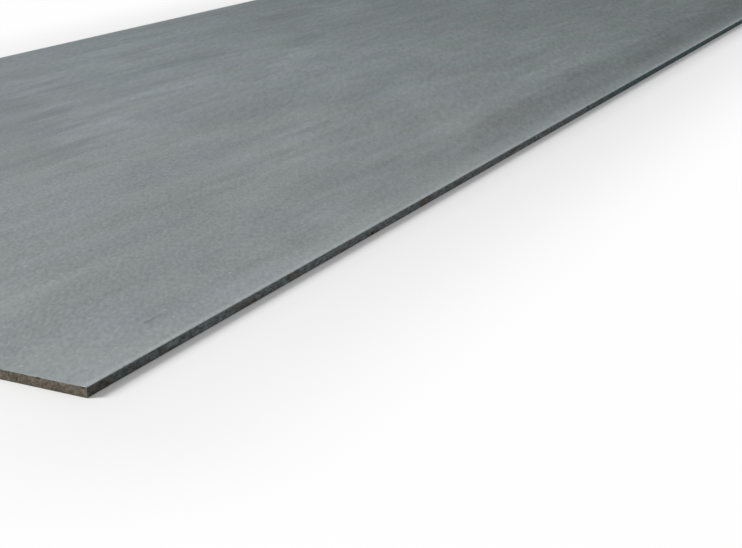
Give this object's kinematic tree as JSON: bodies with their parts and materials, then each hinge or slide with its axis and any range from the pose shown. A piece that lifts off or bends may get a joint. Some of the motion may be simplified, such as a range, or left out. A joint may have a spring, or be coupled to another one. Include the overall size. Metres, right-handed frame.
{
  "type": "cladding board",
  "caption": "Large flat cement-grey sheet with square edges, fixed over battens to face a wall.",
  "frame": {"origin": "middle of the back face, on the floor the board lies on", "axes": "+X across the width, +Y along the length, +Z out of the front face"},
  "size_m": [1.2, 3, 0.01],
  "materials": {
    "cement_board": "dull smooth cement-grey faces with faint streaks along the length, brown-grey grainy sawn edges"
  },
  "bodies": {
    "root": {"board": "cement_board"}
  },
  "joints": []
}
